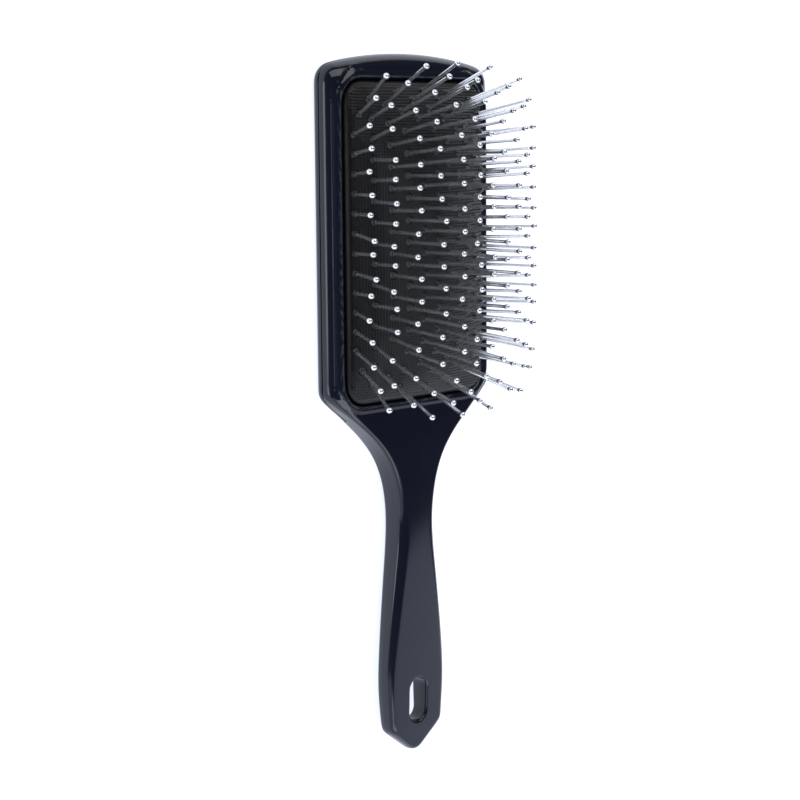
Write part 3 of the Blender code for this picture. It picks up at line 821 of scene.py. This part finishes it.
def placed_copies(name, verts, faces, places, smooth_angle):
    """One object with a copy of the shape at each (origin, direction)."""
    all_verts = []
    all_faces = []
    for origin, direction in places:
        first = len(all_verts) * len(verts)
        turn = np.array(direction.to_track_quat("Z", "Y").to_matrix())
        all_verts.append(verts @ turn.T + np.array(origin))
        all_faces += [tuple(first + i for i in face) for face in faces]
    mesh = bpy.data.meshes.new(name)
    mesh.from_pydata(np.concatenate(all_verts).tolist(), [], all_faces)
    return new_object(name, mesh, smooth_angle)


def make_pin_rows():
    """A piece for each row of pins; every pin is set by hand a touch out of true."""
    chance = random.Random(WOBBLE_SEED)
    verts, faces = spun(pin_profile(), PIN_SIDES)
    rows = []
    for number, pins in enumerate(PIN_ROWS, start=1):
        places = []
        for base, direction in pins:
            wobble = Vector((chance.gauss(0, 1), chance.gauss(0, 1), 0)) * PIN_WOBBLE
            leaning = (direction + wobble).normalized()
            places.append((base - leaning * PIN_ROOT_DEPTH, leaning))
        rows.append(placed_copies(f"wire_row_{number:02d}", verts, faces, places, SHARP_ANGLE_PINS))
    return rows


def make_collars():
    """The small rubber collar that the cushion raises round each pin."""
    verts, faces = spun(from_mm(COLLAR), COLLAR_SIDES)
    places = [pin for pins in PIN_ROWS for pin in pins]
    return placed_copies("pin_collars", verts, faces, places, SHARP_ANGLE_COLLARS)


def make_cloth():
    """Woven layer stretched behind the cushion, over the heads of the pins."""
    shape = bmesh.new()
    rim = pad_ring(-CLOTH_INSET, CLOTH_RIM_SPACING)
    points = spread_points(CLOTH_SPACING, lambda p: pad_distance(p) < -CLOTH_INSET, rim)
    loops = []
    for depth in (CLOTH_DEPTH + CLOTH_THICKNESS, CLOTH_DEPTH):
        loops.append(add_loop(shape, lifted(rim, dome_height(rim) - depth)))
        fill(shape, loops[-1:], lifted(points, dome_height(points) - depth))
    bridge_all(shape, loops)
    return finish_mesh(shape, "backing_weave", SHARP_ANGLE_RUBBER)


def new_material(name):
    material = bpy.data.materials.new(name)
    material.use_nodes = True
    return material, material.node_tree, material.node_tree.nodes["Principled BSDF"]


def add_node(tree, kind, **settings):
    node = tree.nodes.new(kind)
    for key, value in settings.items():
        if key in node.inputs:
            node.inputs[key].default_value = value
        else:
            setattr(node, key, value)
    return node


def object_coordinates(tree):
    return add_node(tree, "ShaderNodeTexCoord").outputs["Object"]


def noise(tree, where, scale, detail=2.0, roughness=0.5):
    node = add_node(tree, "ShaderNodeTexNoise", Scale=scale, Detail=detail, Roughness=roughness)
    tree.links.new(where, node.inputs["Vector"])
    return node.outputs["Fac"]


def stretched(tree, where, scale):
    node = add_node(tree, "ShaderNodeMapping")
    node.inputs["Scale"].default_value = scale
    tree.links.new(where, node.inputs["Vector"])
    return node.outputs["Vector"]


def ramp(tree, factor, stops):
    """Colour ramp; stops are (place, colour) with a colour of three numbers."""
    node = tree.nodes.new("ShaderNodeValToRGB")
    while len(node.color_ramp.elements) < len(stops):
        node.color_ramp.elements.new(1.0)
    for element, (place, colour) in zip(node.color_ramp.elements, stops):
        element.position = place
        element.color = (*colour, 1.0)
    tree.links.new(factor, node.inputs["Fac"])
    return node.outputs["Color"]


def grey(value):
    return (value, value, value)


def math_node(tree, operation, first, second=None):
    node = add_node(tree, "ShaderNodeMath", operation=operation)
    for socket, value in zip(node.inputs, (first, second)):
        if value is None:
            continue
        if isinstance(value, (int, float)):
            socket.default_value = value
        else:
            tree.links.new(value, socket)
    return node.outputs["Value"]


def bump(tree, height, strength, distance, normal=None):
    node = add_node(tree, "ShaderNodeBump", Strength=strength, Distance=distance)
    tree.links.new(height, node.inputs["Height"])
    if normal:
        tree.links.new(normal, node.inputs["Normal"])
    return node.outputs["Normal"]


def finish(tree, shader, pattern, colours, roughness):
    """Base colour and roughness that follow a pattern, each between two values."""
    low_colour, high_colour = colours
    colour = ramp(tree, pattern, [(0.3, low_colour), (0.7, high_colour)])
    tree.links.new(colour, shader.inputs["Base Color"])
    low_rough, high_rough = roughness
    rough = ramp(tree, pattern, [(0.3, grey(low_rough)), (0.7, grey(high_rough))])
    tree.links.new(rough, shader.inputs["Roughness"])


def grained(name, scale, colours, roughness, strength, depth):
    """Plain moulded surface with an even fine grain."""
    material, tree, shader = new_material(name)
    grain = noise(tree, object_coordinates(tree), scale, 3)
    finish(tree, shader, grain, colours, roughness)
    tree.links.new(bump(tree, grain, strength, depth), shader.inputs["Normal"])
    return material


def gloss_plastic(name, low_rough, high_rough):
    """Navy moulded plastic: deep gloss with handling haze, hairline scratches and orange peel."""
    material, tree, shader = new_material(name)
    where = object_coordinates(tree)
    haze = noise(tree, where, 38, 4)
    scratches = noise(tree, stretched(tree, where, (900, 60, 900)), 1.0, 2)
    hairlines = ramp(tree, scratches, [(0.0, grey(0.0)), (0.66, grey(0.0)), (0.74, grey(1.0))])
    colour = ramp(tree, haze, [(0.3, (0.0058, 0.0074, 0.0165)), (0.7, (0.0072, 0.0090, 0.0195))])
    tree.links.new(colour, shader.inputs["Base Color"])
    rough = ramp(tree, haze, [(0.3, grey(low_rough)), (0.72, grey(high_rough))])
    rough = math_node(tree, "ADD", rough, math_node(tree, "MULTIPLY", hairlines, 0.06))
    tree.links.new(rough, shader.inputs["Roughness"])
    peel = noise(tree, where, 420, 1)
    normal = bump(tree, peel, 0.05, 0.02 * MM)
    tree.links.new(bump(tree, hairlines, 0.06, 0.01 * MM, normal), shader.inputs["Normal"])
    return material


def black_rubber():
    """Moulded rubber: matt ridges between fine dimples, with painted shade darkening the inside of each
    dimple.
    """
    material, tree, shader = new_material("black_rubber")
    where = object_coordinates(tree)
    split = add_node(tree, "ShaderNodeSeparateXYZ")
    tree.links.new(where, split.inputs["Vector"])
    waves = []
    for axis, centre in (("X", 0.0), ("Y", PAD_CENTRE_Y)):
        turns = math_node(tree, "SUBTRACT", split.outputs[axis], centre)
        turns = math_node(tree, "MULTIPLY", turns, 2 * math.pi / DIMPLE_PITCH)
        waves.append(math_node(tree, "COSINE", turns))
    pits = math_node(tree, "ADD", waves[0], waves[1])
    pits = math_node(tree, "ADD", math_node(tree, "MULTIPLY", pits, 0.25), 0.5)
    # Painted shade: the colour darkens towards the middle of each dimple, where shade falls, and is
    # lightest on the ridges between them.
    colour = ramp(tree, pits, [
        (0.2, (0.0085, 0.0078, 0.0090)), (0.5, (0.0035, 0.0032, 0.0038)), (0.75, grey(0.0003)),
    ])
    tree.links.new(colour, shader.inputs["Base Color"])
    dust = noise(tree, where, 260, 3)
    rough = ramp(tree, dust, [(0.3, grey(0.34)), (0.7, grey(0.44))])
    tree.links.new(rough, shader.inputs["Roughness"])
    shader.inputs["Specular IOR Level"].default_value = 0.32
    dark = math_node(tree, "MULTIPLY", pits, -1.0)
    normal = bump(tree, dark, 0.6, 0.06 * MM)
    grain = noise(tree, where, 2600, 2)
    tree.links.new(bump(tree, grain, 0.15, 0.02 * MM, normal), shader.inputs["Normal"])
    return material


def collar_rubber():
    colours = [(0.010, 0.010, 0.0115), (0.014, 0.014, 0.0155)]
    return grained("collar_rubber", 900, colours, (0.16, 0.26), 0.12, 0.03 * MM)


def chromed_wire():
    """Polished chrome plate with faint drawing marks and a little haze."""
    material, tree, shader = new_material("chromed_wire")
    shader.inputs["Metallic"].default_value = 0.89
    where = object_coordinates(tree)
    marks = noise(tree, stretched(tree, where, (2600, 2600, 160)), 1.0, 2)
    finish(tree, shader, marks, [(0.74, 0.75, 0.77), (0.86, 0.87, 0.89)], (0.05, 0.12))
    tree.links.new(bump(tree, marks, 0.04, 0.01 * MM), shader.inputs["Normal"])
    return material


def inner_plastic():
    return grained("inner_plastic", 700, [grey(0.022), grey(0.032)], (0.42, 0.55), 0.2, 0.04 * MM)


def woven_cloth():
    """Plain weave: two crossed sets of threads."""
    material, tree, shader = new_material("woven_cloth")
    where = object_coordinates(tree)
    threads = []
    for direction in ("X", "Y"):
        wave = add_node(
            tree, "ShaderNodeTexWave", wave_type="BANDS", bands_direction=direction, Scale=400.0,
            Distortion=1.2,
        )
        tree.links.new(where, wave.inputs["Vector"])
        threads.append(wave.outputs["Fac"])
    weave = math_node(tree, "MAXIMUM", threads[0], threads[1])
    colour = ramp(tree, weave, [(0.2, (0.02, 0.02, 0.022)), (0.8, (0.07, 0.07, 0.075))])
    tree.links.new(colour, shader.inputs["Base Color"])
    rough = ramp(tree, weave, [(0.0, grey(0.95)), (1.0, grey(0.8))])
    tree.links.new(rough, shader.inputs["Roughness"])
    shader.inputs["Sheen Weight"].default_value = 0.2
    tree.links.new(bump(tree, weave, 0.8, 0.15 * MM), shader.inputs["Normal"])
    return material


def floor_material():
    """White acrylic table, lit a little from below."""
    material, tree, shader = new_material("pale_floor")
    where = object_coordinates(tree)
    soft = noise(tree, where, 3, 2)
    colour = ramp(tree, soft, [(0.3, (0.46, 0.46, 0.465)), (0.7, (0.48, 0.48, 0.485))])
    tree.links.new(colour, shader.inputs["Base Color"])
    shader.inputs["Roughness"].default_value = 0.9
    shader.inputs["Specular IOR Level"].default_value = 0.1
    shader.inputs["Emission Color"].default_value = (0.93, 0.98, 1.12, 1.0)
    shader.inputs["Emission Strength"].default_value = 0.9
    return material


def give(piece, material):
    piece.data.materials.clear()
    piece.data.materials.append(material)


def make_floor():
    bpy.ops.mesh.primitive_grid_add(x_subdivisions=8, y_subdivisions=8, size=FLOOR_SIZE)
    floor = bpy.context.object
    floor.name = "floor"
    floor.location.z = cad_low.z - FLOOR_GAP
    give(floor, floor_material())


def add_panel(name, centre, target, size, brightness, colour=WHITE):
    """Soft box: a rectangular light of the given radiance, facing its target."""
    light = bpy.data.lights.new(name, "AREA")
    light.shape = "RECTANGLE"
    light.size, light.size_y = size
    light.energy = brightness * math.pi * size[0] * size[1]
    light.color = colour
    panel = bpy.data.objects.new(name, light)
    panel.location = centre
    panel.rotation_mode = "QUATERNION"
    panel.rotation_quaternion = (Vector(centre) - Vector(target)).to_track_quat("Z", "Y")
    bpy.context.scene.collection.objects.link(panel)


def make_lights():
    for name, side, height, depth in (("foot_right", 0.75, 0.68, 1.36), ("foot_left", -0.75, 0.45, 0.9)):
        add_panel(name, (side, -0.45, height), (side, 1.0, height), (1.5, depth), 0.95, COOL_WHITE)
    add_panel("side_strip", (-1.0, 0.06, 0.13), (0.0, 0.06, 0.1), (0.34, 0.2), 3.0)
    add_panel("top_head", (0.0, 1.0, 0.9), (0.0, 0.0, 0.0), (1.6, 0.9), 2.1)
    add_panel("top_foot", (-0.1, -0.9, 1.2), (0.0, 0.0, 0.0), (1.2, 0.5), 2.1)


def make_world():
    """Dim room with a bright low horizon; the camera itself sees plain white."""
    world = bpy.data.worlds.new("studio")
    world.use_nodes = True
    tree = world.node_tree
    room = tree.nodes["Background"]
    split = add_node(tree, "ShaderNodeSeparateXYZ")
    tree.links.new(add_node(tree, "ShaderNodeTexCoord").outputs["Generated"], split.inputs["Vector"])
    height = ramp(tree, split.outputs["Z"], [
        (0.0, WHITE), (0.12, WHITE), (0.2, (0.08, 0.085, 0.1)), (1.0, (0.05, 0.055, 0.07)),
    ])
    tree.links.new(height, room.inputs["Color"])
    backdrop = add_node(tree, "ShaderNodeBackground")
    backdrop.inputs["Color"].default_value = (*WHITE, 1.0)
    mix = add_node(tree, "ShaderNodeMixShader")
    path = add_node(tree, "ShaderNodeLightPath")
    tree.links.new(path.outputs["Is Camera Ray"], mix.inputs["Fac"])
    tree.links.new(room.outputs["Background"], mix.inputs[1])
    tree.links.new(backdrop.outputs["Background"], mix.inputs[2])
    tree.links.new(mix.outputs["Shader"], tree.nodes["World Output"].inputs["Surface"])
    bpy.context.scene.world = world


def make_camera():
    back = CAMERA_RIGHT.cross(CAMERA_UP).normalized()
    up = back.cross(CAMERA_RIGHT).normalized()
    camera_data = bpy.data.cameras.new("camera")
    camera_data.lens = CAMERA_LENS
    camera_data.sensor_width = CAMERA_SENSOR
    camera = bpy.data.objects.new("camera", camera_data)
    turn = Matrix((CAMERA_RIGHT.normalized(), up, back)).transposed()
    camera.matrix_world = Matrix.Translation(CAMERA_PLACE) @ turn.to_4x4()
    bpy.context.scene.collection.objects.link(camera)
    bpy.context.scene.camera = camera


make_camera()
make_world()
make_lights()
make_floor()
bpy.context.scene.view_settings.view_transform = "Standard"

body = make_body()
give(body, gloss_plastic("navy_gloss", 0.09, 0.15))
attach(body, "paddle")
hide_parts("paddle_body")

cover = make_cover()
give(cover, gloss_plastic("navy_cover", 0.12, 0.2))
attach(cover, "paddle")
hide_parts("rear_cover")

give(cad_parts["cushion_clamp_frame"], inner_plastic())

rubber = black_rubber()
cushion = make_cushion()
give(cushion, rubber)
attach(cushion, "paddle")
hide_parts("cushion_pad")

collars = make_collars()
give(collars, collar_rubber())
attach(collars, "paddle")

for soft in (cushion, collars):
    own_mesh(soft)

cloth = make_cloth()
give(cloth, woven_cloth())
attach(cloth, "pin_field")
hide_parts("backing_cloth")

chrome = chromed_wire()
for number, row in enumerate(make_pin_rows(), start=1):
    give(row, chrome)
    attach(row, "pin_field")
    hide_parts(f"pin_row_{number:02d}")
